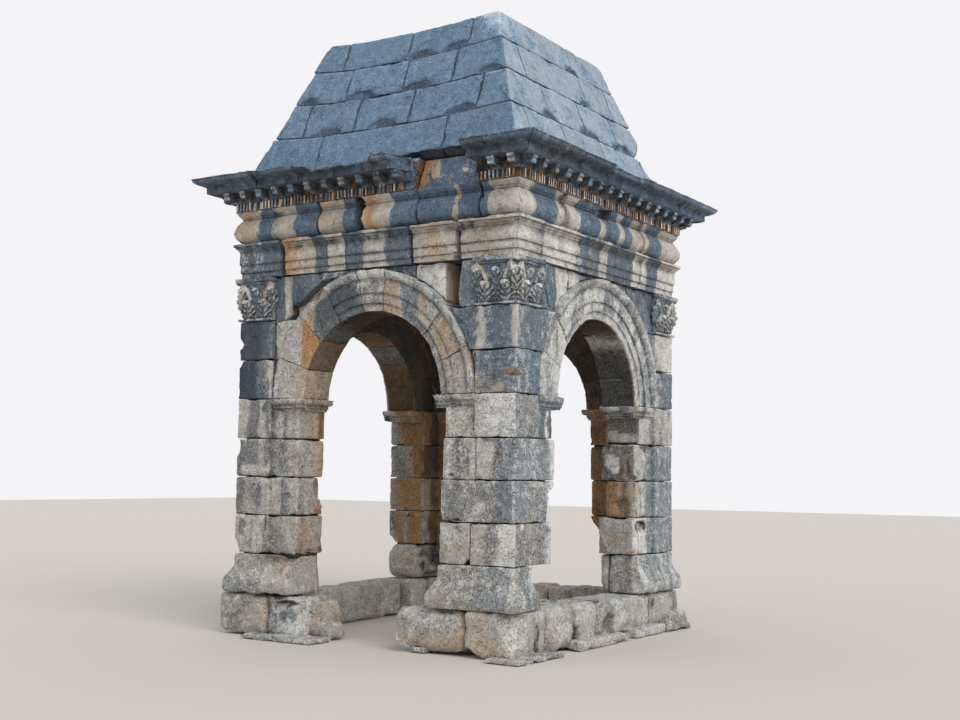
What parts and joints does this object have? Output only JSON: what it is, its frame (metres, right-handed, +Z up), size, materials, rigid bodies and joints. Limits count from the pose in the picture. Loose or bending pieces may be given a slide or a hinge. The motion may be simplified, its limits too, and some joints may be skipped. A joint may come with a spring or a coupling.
{
  "type": "four-sided arched monument with a truncated pyramid roof",
  "caption": "Square stone monument open through an arch on every side, with corner pilasters, a full entablature and the lower courses of a pyramid roof.",
  "frame": {"origin": "middle of the plan, on the ground under the footing stones", "axes": "+Z up, -Y towards the front with the open archway, +X to the right along the front"},
  "size_m": [4.93, 4.93, 7.404],
  "materials": {
    "foot_stone": "matte",
    "pier_stone": "matte",
    "upper_stone": "matte",
    "cornice_stone": "matte",
    "roof_stone": "matte"
  },
  "bodies": {
    "root": {"front_left_footing": "foot_stone", "front_right_footing": "foot_stone", "back_right_footing": "foot_stone", "back_left_footing": "foot_stone", "right_sill_wall": "foot_stone", "back_sill_wall": "foot_stone", "left_sill_wall": "foot_stone", "front_left_base": "foot_stone", "front_right_base": "foot_stone", "back_right_base": "foot_stone", "back_left_base": "foot_stone", "front_left_pier": "pier_stone", "front_right_pier": "pier_stone", "back_right_pier": "pier_stone", "back_left_pier": "pier_stone", "front_left_shaft": "upper_stone", "front_right_shaft": "upper_stone", "back_right_shaft": "upper_stone", "back_left_shaft": "upper_stone", "front_left_capital": "upper_stone", "front_right_capital": "upper_stone", "back_right_capital": "upper_stone", "back_left_capital": "upper_stone", "front_arch": "pier_stone", "right_arch": "pier_stone", "back_arch": "pier_stone", "left_arch": "pier_stone", "front_architrave": "upper_stone", "right_architrave": "upper_stone", "back_architrave": "upper_stone", "left_architrave": "upper_stone", "front_frieze": "cornice_stone", "right_frieze": "cornice_stone", "back_frieze": "cornice_stone", "left_frieze": "cornice_stone", "front_cornice": "cornice_stone", "right_cornice": "cornice_stone", "back_cornice": "cornice_stone", "left_cornice": "cornice_stone", "roof_course_1": "roof_stone", "roof_course_2": "roof_stone", "roof_course_3": "roof_stone", "roof_course_4": "roof_stone", "roof_cap": "roof_stone"}
  },
  "joints": []
}
